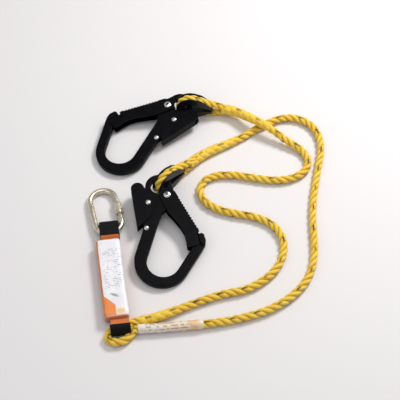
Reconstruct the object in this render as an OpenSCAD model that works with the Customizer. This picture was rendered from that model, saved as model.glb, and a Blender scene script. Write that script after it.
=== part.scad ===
// Shock absorbing lanyard with two rope legs, two scaffold hooks and an oval connector.
// It lies on the floor at z = 0, and the connector's end points towards +Y.

/* [Rope] */
// Diameter of the three-strand rope
rope_d = 14; // [14:0.5:14]
// Diameter of a splice at its thick end
splice_d = 19; // [17:0.5:20]
// Length over which a splice tapers down to the rope
splice_len = 120; // [80:5:140]
// Outer diameter of the printed sleeve on leg A
sleeve_d = 17.4; // [17:0.2:18]

/* [Scaffold hooks] */
// Thickness of the forged frame
frame_t = 12; // [11:0.5:12]
// Radius of the bow's seat, for tubes up to twice this
bow_r = 30; // [28:0.5:30]
// Outer radius of the bow
bow_outer_r = 50; // [49:0.5:51]
// Radius of the eye's hole
eye_r = 14.5; // [14.5:0.25:15]
// Outer radius of the eye
eye_outer_r = 24.5; // [24:0.5:25]
// Wall of the pressed gate and lever
channel_wall = 2; // [1.5:0.25:2]
// Radius of the gate's rivet
gate_rivet_r = 4; // [3.5:0.25:4]
// Radius of the lever's rivet and of the stop rivet
lever_rivet_r = 3; // [2.5:0.25:3]

/* [Energy absorber] */
// Length of the covered pack
pack_l = 156; // [140:1:156]
// Width of the covered pack
pack_w = 44; // [42:1:46]
// Thickness of the covered pack
pack_t = 24; // [24:0.5:26]
// Width of the webbing
web_w = 32; // [30:0.5:32]
// Thickness of the webbing
web_t = 2.4; // [2:0.1:2.4]
// Wall of the black guards round the webbing
guard_t = 1.2; // [1:0.1:1.2]

/* [Connector] */
// Length of the oval connector
oval_l = 108; // [106:1:110]
// Width of the oval connector
oval_w = 58; // [58:0.5:60]
// Diameter of its bar
bar_d = 10.5; // [10:0.25:10.5]
// Outer diameter of the screw sleeve
nut_d = 16; // [15:0.5:16]

/* [Hidden] */
$fn = 48;

yellow = [0.86, 0.64, 0.10];
orange = [0.88, 0.42, 0.14];
black = [0.05, 0.05, 0.06];
steel = [0.72, 0.72, 0.70];
passivated = [0.74, 0.68, 0.50];

rope_r = rope_d / 2;
gap = 0.4;                 // free space between parts that move past each other
fit = 0.05;                // running clearance of a rivet, on the radius

// The whole object is drawn round the middle of its own footprint
footprint_mid = [-78.7, -35.4, 0];

// --- swept tubes -------------------------------------------------------------

function unit(v) = v / norm(v);
function along(p, i) = unit(p[min(i + 1, len(p) - 1)] - p[max(i - 1, 0)]);
function ring(c, t, r, sides) =
  let (s = unit(cross(t, [0, 0, 1])), u = cross(s, t))
  [for (k = [0 : sides - 1]) c + r * (cos(360 * k / sides) * s + sin(360 * k / sides) * u)];

module tube(p, radii, sides) {
  n = len(p);
  rings = [for (i = [0 : n - 1]) each ring(p[i], along(p, i), radii[i], sides)];
  walls = [for (i = [0 : n - 2]) for (k = [0 : sides - 1])
    [i * sides + k, (i + 1) * sides + k,
     (i + 1) * sides + (k + 1) % sides, i * sides + (k + 1) % sides]];
  caps = [[for (k = [0 : sides - 1]) k], [for (k = [sides - 1 : -1 : 0]) (n - 1) * sides + k]];
  polyhedron(points = rings, faces = concat(caps, walls), convexity = 8);
}

// --- where things lie ----------------------------------------------------------

module lay(at, turn) translate(at) rotate([0, 0, turn]) children();
module on_floor() translate(-footprint_mid) children();

// Pack
pack_at = [-153.5, -173.5, 0];
pack_turn = 8.7;
web_z = 12.3;              // height of the loops' middle above the floor
web_shift = 4.8;           // the webbing runs nearer to the pack's right side

// Rope eyes that carry the hooks: the turn's middle, and the way the rope leaves
thimble_r = 10.5;          // inside radius of the thimble's turn
thimble_base = 2.5;
turn_r = thimble_r + thimble_base + rope_r + 0.05;
eye_z = turn_r + rope_r;
eye_1_at = [-19, 201, eye_z];
eye_2_at = [-63, 24, eye_z];
rope_1_way = 0;
rope_2_way = 48;
throat = 62;               // from the turn's middle to where the two strands meet
strand_gap = rope_d + 0.4; // between the two strands' middles there
throat_z = rope_r + strand_gap / 2;
function throat_of(at, way) = [at[0] + throat * cos(way), at[1] + throat * sin(way), throat_z];

// Routes of the two legs, from the absorber's eye to the hooks' eyes
route_a = concat([
  [-112, -269.5, 9], [-72, -265.5, 9], [-32, -261.5, 9], [8, -257.5, 9], [44, -252, 7.5],
  [82, -243, 7], [118, -230, 7], [150, -211, 7], [176, -187, 7], [194, -158, 7],
  [203, -124, 7], [205, -88, 7], [205, -50, 7], [208, -10, 7], [215, 32, 7], [223, 72, 7],
  [230, 110, 7], [227, 144, 7], [212, 170, 7], [186, 184, 7], [158, 184, 7], [134, 174, 7],
  [108, 158, 7], [76, 136, 7.2], [44, 118, 7.8], [18, 104, 8.6], [-4, 88.5, 10]
], [throat_of(eye_2_at, rope_2_way)]);
route_b = concat([
  [-112, -253.5, 7.5], [-84, -248, 7.5], [-54, -237, 7], [-22, -223, 7], [10, -210, 7],
  [44, -199, 7], [78, -191, 7], [108, -175, 7], [133, -151, 7], [148, -120, 7],
  [148, -86, 7], [130, -57, 7], [98, -41, 7], [64, -34, 7], [32, -24, 7], [10, -8, 7],
  [0, 14, 7], [8, 37, 7], [30, 49, 7], [60, 51, 7], [94, 46, 7], [130, 40, 7], [164, 42, 7],
  [192, 56, 7], [204, 80, 7], [194, 106, 8], [166, 126, 13], [138, 146, 21], [114, 162, 24],
  [90, 179, 21], [68, 194, 16]
], [throat_of(eye_1_at, rope_1_way)]);
route_eye = [
  [-112, -253.5, 7.5], [-123, -259, 9.5], [-136, -265, 12.3], [-148, -269.5, 10.5],
  [-155.5, -277, 8], [-154.5, -286, 7], [-146, -291, 7], [-134, -290.5, 7], [-123.5, -285, 7.5],
  [-117, -277, 8.5], [-112, -269.5, 9]
];

// The hooks: which way each points, and where the rope's turn holds its eye
eye_mid = [21, 195];
hold_r = (eye_r + eye_outer_r) / 2;
hook_1_turn = -59;
hook_2_turn = 15;
lean_1 = 90 + hook_1_turn - rope_1_way;
lean_2 = 90 + hook_2_turn - rope_2_way;
hold_1 = eye_mid + hold_r * [-sin(lean_1), cos(lean_1)];
hold_2 = eye_mid + hold_r * [sin(lean_2), cos(lean_2)];
function tilt_of(hold) = asin((eye_z - frame_t / 2) / hold[1]);

module hook_1_place()
  translate(eye_1_at) rotate([0, 0, hook_1_turn]) rotate([tilt_of(hold_1), 0, 0])
  rotate([0, 180, 0]) translate([-hold_1[0], -hold_1[1], 0]) children();
module hook_2_place()
  translate(eye_2_at) rotate([0, 0, hook_2_turn]) rotate([tilt_of(hold_2), 0, 0])
  translate([-hold_2[0], -hold_2[1], 0]) children();

// --- rope ------------------------------------------------------------------------

function taper(left) = rope_r + (splice_d / 2 - rope_r) * max(0, 1 - left / splice_len);
function run(p, i) = i == 0 ? 0 : norm(p[i] - p[i - 1]) + run(p, i - 1);
function leg_radii(p) = [for (i = [0 : len(p) - 1]) taper(run(p, len(p) - 1) - run(p, i))];

module rope_leg(route) color(yellow) on_floor() tube(route, leg_radii(route), 10);
module rope_eye_absorber() color(yellow) on_floor()
  tube(route_eye, [for (p = route_eye) rope_r], 10);

module rope_label_sleeve() color("white") on_floor() {
  from = route_a[0] + [6.6, 0.66, 0];
  to = route_a[3] - [2, 0.2, 0];
  translate(from) rotate([0, 90, atan2(to[1] - from[1], to[0] - from[0])])
    difference() {
      cylinder(r = sleeve_d / 2, h = norm(to - from));
      translate([0, 0, -1]) cylinder(r = rope_r + 0.3, h = norm(to - from) + 2);
    }
}

// A rope eye stands on edge: its turn lies in the X-Z plane, round the Y axis
top_end = [throat, strand_gap - turn_r, 0];
top_angle = atan2(top_end[1], top_end[0]) + acos(turn_r / norm(top_end));
turn_steps = 14;
eye_path = concat(
  [[throat, -turn_r, 0], [throat / 2, -turn_r, 0]],
  [for (i = [0 : turn_steps])
    let (a = 270 - i * (270 - top_angle) / turn_steps) turn_r * [cos(a), sin(a), 0]],
  [(turn_r * [cos(top_angle), sin(top_angle), 0] + top_end) / 2, top_end]);

module stood_up(at, way)
  on_floor() translate(at) rotate([0, 0, way]) rotate([90, 0, 0]) children();

// Here the X-Y plane is the plane of the turn
module rope_eye(at, way) color(yellow) stood_up(at, way)
  tube(eye_path, [for (p = eye_path) rope_r], 12);

thimble_half = 8.4;
thimble_wall = 1.2;
thimble_lip = 14;
leg_length = 42;

// Section of the thimble, X away from the turn's middle
module thimble_section() difference() {
  translate([thimble_r, -thimble_half]) square([thimble_base + thimble_lip, 2 * thimble_half]);
  translate([thimble_r + thimble_base, thimble_wall - thimble_half])
    square([thimble_lip + 1, 2 * (thimble_half - thimble_wall)]);
}

// A leg's sides get lower towards its end
module thimble_leg() difference() {
  linear_extrude(leg_length) thimble_section();
  rotate([90, 0, 0]) linear_extrude(30, center = true)
    polygon([[30, leg_length - 34], [30, leg_length + 1], [16, leg_length + 1],
      [16, leg_length - 2], [thimble_r + thimble_base + thimble_lip + 0.2, leg_length - 30]]);
}

module thimble(at, way) color(black) stood_up(at, way) {
  rotate([0, 0, top_angle]) rotate_extrude(angle = 270 - top_angle) thimble_section();
  rotate([0, 0, -90]) rotate([-90, 0, 0]) thimble_leg();
  rotate([0, 0, top_angle]) rotate([90, 0, 0]) thimble_leg();
}

// --- energy absorber ---------------------------------------------------------------

core_half = 60;            // half the length of the folded webbing
fold_count = 8;
fold_pitch = 2.7;

module on_pack() on_floor() lay(pack_at, pack_turn) children();

module rounded_rect(w, h, r) {
  square([w - 2 * r, h], center = true);
  square([w, h - 2 * r], center = true);
  for (x = [-1, 1], y = [-1, 1]) translate([x * (w / 2 - r), y * (h / 2 - r)]) circle(r);
}

module tear_webbing() color(orange) on_pack() translate([0, 0, web_z]) {
  for (i = [0 : fold_count - 1])
    translate([-web_w / 2, -core_half + fold_pitch, (i - fold_count / 2 + 0.5) * fold_pitch - web_t / 2])
      cube([web_w, 2 * (core_half - fold_pitch), web_t]);
  for (i = [0 : fold_count - 2]) {
    end = (i % 2 == 0) ? 1 : -1;
    translate([0, end * (core_half - fold_pitch), (i - fold_count / 2 + 1) * fold_pitch])
      rotate([0, 90, 0]) intersection() {
        difference() {
          cylinder(r = (fold_pitch + web_t) / 2, h = web_w, center = true);
          cylinder(r = (fold_pitch - web_t) / 2, h = web_w + 2, center = true);
        }
        translate([0, end * 5, 0]) cube([20, 10, web_w + 4], center = true);
      }
  }
}

cover_wall = 1;
module cover() color("white") on_pack() translate([0, 0, pack_t / 2]) difference() {
  rotate([90, 0, 0]) linear_extrude(pack_l, center = true) rounded_rect(pack_w, pack_t, 7);
  rotate([90, 0, 0]) linear_extrude(pack_l - 2 * cover_wall, center = true)
    rounded_rect(pack_w - 2 * cover_wall, pack_t - 2 * cover_wall, 6);
  translate([web_shift, 0, web_z - pack_t / 2])
    cube([web_w + 0.4, pack_l + 2, 2 * web_t + 1], center = true);
}

label_t = 0.4;
module pack_label() color("white") on_pack()
  translate([0, 0, pack_t]) linear_extrude(label_t) rounded_rect(30, pack_l - 6, 2);

// Side view of a loop: X runs out from the pack's end, Y is height from its middle
module loop_side(r, fold, flat_from, root_h) {
  translate([fold, 0]) circle(r);
  polygon([[fold, r], [flat_from, r], [0, root_h], [-2, root_h],
    [-2, -root_h], [0, -root_h], [flat_from, -r], [fold, -r]]);
}
module loop_band(width) rotate([90, 0, 90]) linear_extrude(width, center = true) children();

// How far inside the pack the webbing's two layers are stitched together
tail = 16;
guard_gap = 0.1;

module webbing_loop(hole_r, fold, flat_from) {
  inner = hole_r + guard_t + guard_gap;
  loop_band(web_w) difference() {
    union() {
      loop_side(inner + web_t, fold, flat_from, web_t);
      translate([-tail, -web_t]) square([tail, 2 * web_t]);
    }
    translate([fold, 0]) circle(inner);
    polygon([[fold, inner], [flat_from, inner], [2, 0], [flat_from, -inner], [fold, -inner]]);
  }
}

module guard(hole_r, fold, flat_from, covered_from) {
  outer = hole_r + 2 * guard_t + web_t + 2 * guard_gap;
  intersection() {
    difference() {
      loop_band(web_w + 2 * guard_t + 0.4) difference() {
        loop_side(outer, fold, flat_from, web_t + guard_t);
        translate([fold, 0]) circle(hole_r);
        translate([0, -hole_r]) square([fold, 2 * hole_r]);
      }
      loop_band(web_w + 0.4) difference() {
        loop_side(outer - guard_t, fold, flat_from, web_t);
        translate([fold, 0]) circle(hole_r + guard_t);
        translate([0, -hole_r - guard_t]) square([fold, 2 * (hole_r + guard_t)]);
      }
    }
    translate([0, 50 + covered_from, 0]) cube([100, 100, 100], center = true);
  }
}

upper_turn = 7;            // the upper loop follows the connector's lie
upper_fold = 29.5;
upper_flat = 8;
upper_hole = bar_d / 2 + 0.75;
lower_turn = 187;
lower_fold = 18;
lower_flat = 15;
lower_hole = rope_r + 0.3;
function on_pack_point(x, y) = pack_at +
  [x * cos(pack_turn) - y * sin(pack_turn), x * sin(pack_turn) + y * cos(pack_turn), web_z];
upper_root = on_pack_point(web_shift, pack_l / 2);
lower_root = on_pack_point(web_shift, -pack_l / 2);

module at_upper() on_floor() lay(upper_root, upper_turn) children();
module at_lower() on_floor() lay(lower_root, lower_turn) children();

module upper_loop() color(orange) at_upper() webbing_loop(upper_hole, upper_fold, upper_flat);
module lower_loop() color(orange) at_lower() webbing_loop(lower_hole, lower_fold, lower_flat);
module upper_guard() color(black) at_upper() guard(upper_hole, upper_fold, upper_flat, upper_flat);
module lower_guard() color(black) at_lower() guard(lower_hole, lower_fold, lower_flat, lower_flat);

// --- connector -----------------------------------------------------------------------

bar_r = bar_d / 2;
bend_r = (oval_w - bar_d) / 2;
straight = (oval_l - oval_w) / 2;      // half the length of its straight sides
oval_in_loop = 16.5;                   // from the pack's end to the bar in the loop
oval_tilt = 3.6;
oval_turn = 8;                         // how far it has swung round in the loop
hinge_y = -straight;
joint_y = straight - 3;                // where the gate meets the nose
slot_w = 4.6;
blade_t = 4;
pin_y = joint_y - 3.6;
gate_bar_r = 5;
ball_r = 5.4;
knuckle_clear = 5.8;

// The bottom bar's middle hangs in the upper loop, and the far end lies lower
module connector_place() at_upper() translate([0, oval_in_loop, 0]) rotate([-oval_tilt, 0, 0])
  translate([0, bend_r, 0]) rotate([0, 0, oval_turn]) translate([0, straight, 0]) children();

module bend(from, turn) rotate([0, 0, from]) rotate_extrude(angle = turn)
  translate([bend_r, 0]) circle(bar_r);

module connector_body() color(passivated) connector_place() {
  difference() {
    union() {
      translate([0, straight, 0]) bend(0, 180);
      translate([0, -straight, 0]) bend(180, 180);
      translate([-bend_r, -straight, 0]) rotate([-90, 0, 0]) cylinder(r = bar_r, h = 2 * straight);
      translate([bend_r, joint_y, 0]) rotate([-90, 0, 0]) cylinder(r = bar_r, h = straight - joint_y);
    }
    translate([bend_r, hinge_y, 0]) sphere(knuckle_clear);
  }
  // Tongue that the gate's fork turns on
  difference() {
    linear_extrude(blade_t, center = true) {
      translate([bend_r, hinge_y]) circle(4.4);
      translate([bend_r - 4.4, hinge_y - 8]) square([8.2, 8]);
    }
    translate([bend_r, hinge_y, -5]) cylinder(r = 2 + 0.02, h = 10);
  }
  // Nose blade with the notch that the catch pin enters from inside
  linear_extrude(blade_t, center = true) difference() {
    translate([bend_r - 4, joint_y - 6.4]) square([8, 7]);
    translate([bend_r, pin_y]) circle(1.9);
    translate([bend_r - 10, pin_y - 1.9]) square([10, 3.8]);
  }
}

module connector_gate() color(passivated) connector_place() translate([bend_r, 0, 0]) difference() {
  union() {
    translate([0, hinge_y, 0]) rotate([-90, 0, 0])
      cylinder(r = gate_bar_r, h = joint_y - 0.6 - hinge_y);
    translate([0, hinge_y, 0]) sphere(ball_r);
    // Thread for the sleeve
    for (i = [0 : 8]) translate([0, hinge_y + 7 + i * 1.5, 0]) rotate([-90, 0, 0])
      cylinder(r = gate_bar_r + 0.25, h = 0.75);
  }
  // Fork at the hinge, slot for the nose blade
  translate([-10, hinge_y - 10, -slot_w / 2]) cube([20, 15.6, slot_w]);
  translate([-10, joint_y - 7.4, -slot_w / 2]) cube([20, 20, slot_w]);
  translate([0, hinge_y, -8]) cylinder(r = 2 + fit, h = 16);
  translate([0, pin_y, -8]) cylinder(r = 1.5, h = 16);
  translate([0, hinge_y + 3, 0]) rotate([-90, 0, 0]) cylinder(r = 2.4, h = 20);
}

nut_from = -12;
module screw_sleeve() color(passivated) connector_place() translate([bend_r, nut_from, 0])
  rotate([-90, 0, 0]) difference() {
    union() {
      cylinder(r = 6.8, h = 7);
      translate([0, 0, 6]) cylinder(r1 = 6.8, r2 = nut_d / 2, h = 1.2);
      translate([0, 0, 7.2]) cylinder(r = nut_d / 2, h = 18.8);
    }
    translate([0, 0, -1]) cylinder(r = bar_r + 0.35, h = 30);
    for (i = [0 : 23]) rotate([0, 0, i * 15]) translate([nut_d / 2 + 0.35, 0, 8.5])
      cylinder(r = 0.8, h = 16, $fn = 16);
  }

// Domed head of a rivet, flat side down
module dome(r, h) {
  ball = (r * r + h * h) / (2 * h);
  intersection() {
    translate([0, 0, h - ball]) sphere(ball);
    cylinder(r = r, h = h);
  }
}

module connector_rivet() color(steel) connector_place() translate([bend_r, hinge_y, 0]) {
  cylinder(r = 2, h = 10.4, center = true);
}
module catch_pin() color(steel) connector_place() translate([bend_r, pin_y, 0])
  cylinder(r = 1.5, h = 9.2, center = true);

function coil(r, pitch, turns, step) =
  [for (a = [0 : step : 360 * turns]) [r * cos(a), r * sin(a), pitch * a / 360]];

module spring(r, wire, pitch, turns, step) {
  path = coil(r, pitch, turns, step);
  tube(path, [for (p = path) wire / 2], 6);
}

module connector_spring() color(steel) connector_place()
  translate([bend_r, hinge_y + 9.4, 0]) rotate([-90, 0, 0]) spring(1.7, 0.7, 2.2, 6, 36);
module connector_plunger() color(steel) connector_place()
  translate([bend_r, hinge_y + 4.9, 0]) rotate([-90, 0, 0]) {
    cylinder(r = 2.2, h = 4);
    cylinder(r = 1.1, h = 7);
  }

// --- scaffold hook -------------------------------------------------------------------
// X runs across towards the gate, Y from the bow to the eye, Z through the plate

bow_mid = [-7.5, bow_outer_r];
seat_mid = [-6, 18 + bow_r];
gate_pivot = [32, 174];
lever_pivot = [-5, 167];
stop_at = [-20, 119];
boss_r = 15;
spine_slope = 60;
arm_slope = 45;
weld = 0.05;               // how far a straight edge cuts into the circle that it leaves
function on_circle(mid, r, a) = mid + r * [cos(a), sin(a)];
spine_way = [cos(spine_slope), sin(spine_slope)];
arm_way = [cos(arm_slope), sin(arm_slope)];
spine_outer = on_circle(bow_mid, bow_outer_r - weld, 90 + spine_slope);
spine_inner = on_circle(seat_mid, bow_r - weld, 90 + spine_slope);
arm_outer = on_circle(bow_mid, bow_outer_r - weld, arm_slope - 90);
arm_inner = on_circle(seat_mid, bow_r - weld, arm_slope - 90);

module bow_shape() difference() {
  translate(bow_mid) circle(bow_outer_r, $fn = 96);
  translate(seat_mid) circle(bow_r, $fn = 96);
  polygon([seat_mid, on_circle(seat_mid, bow_r + 3, 90 + spine_slope),
    on_circle(bow_mid, 90, 82 + spine_slope), [-90, 160], [100, 160], [100, -50],
    on_circle(bow_mid, 90, arm_slope - 82), on_circle(seat_mid, bow_r + 3, arm_slope - 90)]);
}

module head_shape() polygon([spine_outer, spine_outer + 47.4 * spine_way, [-21, 145],
  [-12, 183], [-2, 201], eye_mid, [45, 196], [46.8, 172], [36, 161], [25, 147], [19, 143],
  [13, 140], spine_inner + 82 * spine_way, spine_inner - 5 * spine_way]);

module arm_shape() polygon([arm_outer, arm_outer + 56.6 * arm_way, [74, 61], [77, 69],
  [77, 80.5], [73.5, 84], [66, 84], [65, 79], arm_inner + 61 * arm_way,
  arm_inner - 5 * arm_way]);

module nose_shape() polygon([[67.5, 60], [73, 62.5], [76.5, 69.5], [76.5, 80], [73, 83.5],
  [66.5, 83.5], [65.6, 79], [65.6, 66]]);

spring_pocket_r = 8;
spring_pocket_depth = 4.4;

module hook_frame() color(black) difference() {
  union() {
    linear_extrude(frame_t, center = true) {
      bow_shape();
      head_shape();
      arm_shape();
      translate(eye_mid) circle(eye_outer_r, $fn = 96);
      translate(gate_pivot) circle(boss_r);
    }
    linear_extrude(20, center = true) nose_shape();
  }
  through(eye_mid) cylinder(r = eye_r, h = 30, center = true, $fn = 96);
  through(gate_pivot) cylinder(r = gate_rivet_r + 0.02, h = 30, center = true);
  through(lever_pivot) cylinder(r = lever_rivet_r + 0.02, h = 30, center = true);
  through(stop_at) cylinder(r = lever_rivet_r + 0.02, h = 30, center = true);
  through(gate_pivot) translate([0, 0, frame_t / 2 - spring_pocket_depth])
    cylinder(r = spring_pocket_r, h = 10);
  through(lever_pivot) translate([0, 0, frame_t / 2 - spring_pocket_depth])
    cylinder(r = spring_pocket_r - 1.5, h = 10);
}
module through(at) translate([at[0], at[1], 0]) children();

cheek_in = frame_t / 2 + gap;
cheek_out = cheek_in + channel_wall;

// The two side walls of a pressed channel
module cheeks() for (z = [cheek_in, -cheek_out]) translate([0, 0, z])
  linear_extrude(channel_wall) children();
module full_width() linear_extrude(2 * cheek_out, center = true) children();

gate_corner = [47.5, 176];
gate_web_top = [49.8, 167.2];
gate_web_end = [69.5, 92];
module gate_side() {
  translate(gate_pivot) circle(13.5);
  polygon([gate_corner, gate_web_end, [69.5, 88], [64.6, 86.5], [64.6, 66], [61, 62.5],
    [44, 62.5], [42, 65], [43.5, 80], [43.5, 94], [39.5, 108], [33, 123], [25, 139],
    [19, 168], gate_pivot, [40, 184.9]]);
}
module gate_web() polygon([gate_web_top, gate_web_end, gate_web_end - [2.2, 0.6],
  gate_web_top - [2.4, 0.6]]);

web_way = atan2(gate_web_end[1] - gate_web_top[1], gate_web_end[0] - gate_web_top[0]);
grip_count = 12;
module hook_gate() color(black) difference() {
  union() {
    cheeks() gate_side();
    full_width() gate_web();
  }
  through(gate_pivot) cylinder(r = gate_rivet_r + fit, h = 40, center = true);
  // Finger grip across the outer face
  for (i = [1 : grip_count]) through(gate_web_top + (gate_web_end - gate_web_top) * i / (grip_count + 1))
    rotate([0, 0, web_way]) translate([0, 0.8, 0]) cylinder(r = 2.2, h = 40, center = true, $fn = 24);
}

lever_low = [-36, 121];
lever_high = [-29.5, 199];
lever_top = [-17.5, 199];
module lever_side() {
  translate(lever_pivot) circle(10.5);
  translate(lever_top) circle(12);
  polygon([lever_low, lever_high, lever_top, [-5.5, 199], [1, 188], [5.2, 170], [4, 160],
    [-3, 146], [-9, 137]]);
}
module lever_web() polygon([lever_low, lever_high, lever_high + [channel_wall, 0],
  lever_low + [channel_wall, 1.3]]);
module hook_lever() color(black) difference() {
  union() {
    cheeks() lever_side();
    full_width() lever_web();
  }
  through(lever_pivot) cylinder(r = lever_rivet_r + fit, h = 40, center = true);
}

head_gap = 0.3;
module channel_rivet(r, head_r, head_h) color(steel) {
  reach = cheek_out + head_gap;
  cylinder(r = r, h = 2 * reach, center = true);
  for (side = [0, 180]) rotate([0, side, 0]) translate([0, 0, reach]) dome(head_r, head_h);
}
module hook_gate_rivet() difference() {
  through(gate_pivot) channel_rivet(gate_rivet_r, 6.5, 1.8);
  through(gate_pivot) cylinder(r = 2.4, h = 60, center = true);
}
module hook_lever_rivet() through(lever_pivot) channel_rivet(lever_rivet_r, 4.6, 1.6);
module hook_stop_rivet() color(steel) through(stop_at) {
  cylinder(r = lever_rivet_r, h = frame_t, center = true);
  for (side = [0, 180]) rotate([0, side, 0]) translate([0, 0, frame_t / 2]) dome(4.8, 2.2);
}
module hook_gate_spring() color(steel) through(gate_pivot)
  translate([0, 0, frame_t / 2 - spring_pocket_depth + 0.75]) spring(5.8, 1.3, 1.4, 2, 30);
module hook_lever_spring() color(steel) through(lever_pivot)
  translate([0, 0, frame_t / 2 - spring_pocket_depth + 0.65]) spring(4.6, 1.1, 1.4, 2, 30);

module hook_piece(part) {
  if (part == "frame") hook_frame();
  if (part == "gate") hook_gate();
  if (part == "lever") hook_lever();
  if (part == "gate_rivet") hook_gate_rivet();
  if (part == "lever_rivet") hook_lever_rivet();
  if (part == "stop_rivet") hook_stop_rivet();
  if (part == "gate_spring") hook_gate_spring();
  if (part == "lever_spring") hook_lever_spring();
}
module hook_1(part) on_floor() hook_1_place() hook_piece(part);
module hook_2(part) on_floor() hook_2_place() hook_piece(part);

// --- the nodes -------------------------------------------------------------------------

rope_leg(route_a);  // rope_leg_a
rope_leg(route_b);  // rope_leg_b
rope_label_sleeve();
rope_eye_absorber();
rope_eye(eye_1_at, rope_1_way);  // rope_eye_hook_1
rope_eye(eye_2_at, rope_2_way);  // rope_eye_hook_2
thimble(eye_1_at, rope_1_way);  // thimble_1
thimble(eye_2_at, rope_2_way);  // thimble_2
tear_webbing();
cover();
pack_label();
upper_loop();
lower_loop();
upper_guard();
lower_guard();
connector_body();
connector_gate();
screw_sleeve();
connector_rivet();
catch_pin();
connector_spring();
connector_plunger();
hook_1("frame");  // hook_1_frame
hook_1("gate");  // hook_1_gate
hook_1("lever");  // hook_1_lever
hook_1("gate_rivet");  // hook_1_gate_rivet
hook_1("lever_rivet");  // hook_1_lever_rivet
hook_1("stop_rivet");  // hook_1_stop_rivet
hook_1("gate_spring");  // hook_1_gate_spring
hook_1("lever_spring");  // hook_1_lever_spring
hook_2("frame");  // hook_2_frame
hook_2("gate");  // hook_2_gate
hook_2("lever");  // hook_2_lever
hook_2("gate_rivet");  // hook_2_gate_rivet
hook_2("lever_rivet");  // hook_2_lever_rivet
hook_2("stop_rivet");  // hook_2_stop_rivet
hook_2("gate_spring");  // hook_2_gate_spring
hook_2("lever_spring");  // hook_2_lever_spring
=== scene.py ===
"""Looks of the shock absorbing lanyard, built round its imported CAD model."""
import math
import bpy
import bmesh
import numpy as np
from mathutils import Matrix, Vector


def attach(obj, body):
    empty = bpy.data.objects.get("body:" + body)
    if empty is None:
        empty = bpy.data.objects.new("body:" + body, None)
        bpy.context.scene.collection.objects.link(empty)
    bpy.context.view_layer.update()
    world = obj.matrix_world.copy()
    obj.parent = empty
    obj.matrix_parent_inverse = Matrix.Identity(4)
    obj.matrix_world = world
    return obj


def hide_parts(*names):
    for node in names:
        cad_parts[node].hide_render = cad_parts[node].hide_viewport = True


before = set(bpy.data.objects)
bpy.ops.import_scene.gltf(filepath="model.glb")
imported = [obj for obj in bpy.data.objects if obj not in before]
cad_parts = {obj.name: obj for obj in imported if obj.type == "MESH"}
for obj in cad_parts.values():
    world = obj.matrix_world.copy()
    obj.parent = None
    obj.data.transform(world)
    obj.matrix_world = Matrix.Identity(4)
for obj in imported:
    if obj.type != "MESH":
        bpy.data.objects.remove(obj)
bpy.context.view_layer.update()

MM = 0.001
MIDDLE = np.array([78.7, 35.4, 0.0])   # the row's origin is this far from the drawing's, in mm
TAU = 2 * math.pi
UP = np.array([0.0, 0.0, 1.0])


def polar(angle):
    a = math.radians(angle)
    return np.array([math.cos(a), math.sin(a), 0.0])


# ---------------------------------------------------------------- camera, light, floor

CAMERA_RISE = math.radians(57)       # the photograph looks down at about this angle
CAMERA_FAR = 1900.0                  # mm
CAMERA_LENS = 92.43                  # mm, on a sensor 36 mm wide
WORLD_LIGHT = 0.42
target = MIDDLE * MM
camera_data = bpy.data.cameras.new("camera")
camera_data.sensor_width = 36
camera_data.lens = CAMERA_LENS
camera_data.clip_end = 20
camera = bpy.data.objects.new("camera", camera_data)
bpy.context.scene.collection.objects.link(camera)
away = np.array([0, -math.cos(CAMERA_RISE), math.sin(CAMERA_RISE)]) * CAMERA_FAR * MM
camera.location = Vector(target + away)
camera.rotation_euler = Vector(-away).to_track_quat("-Z", "Y").to_euler()
bpy.context.scene.camera = camera


def area_light(name, where, size, power, colour):
    data = bpy.data.lights.new(name, "AREA")
    data.shape = "DISK"
    data.size = size
    data.energy = power
    data.color = colour
    lamp = bpy.data.objects.new(name, data)
    lamp.location = Vector(where)
    lamp.rotation_euler = (Vector(target) - Vector(where)).to_track_quat("-Z", "Y").to_euler()
    bpy.context.scene.collection.objects.link(lamp)


area_light("key", (0.95, 0.95, 1.5), 0.6, 26, (1.0, 0.985, 0.965))
area_light("fill", (-1.3, -0.9, 1.6), 1.6, 5, (0.96, 0.97, 1.0))
area_light("top", (0.1, 0.1, 2.4), 1.4, 8, (1.0, 1.0, 1.0))
bpy.context.scene.view_settings.view_transform = "Standard"

world = bpy.data.worlds.new("world")
bpy.context.scene.world = world
world.use_nodes = True
background = world.node_tree.nodes["Background"]
background.inputs["Color"].default_value = (1, 1, 1, 1)
background.inputs["Strength"].default_value = WORLD_LIGHT

# ---------------------------------------------------------------- materials


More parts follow.
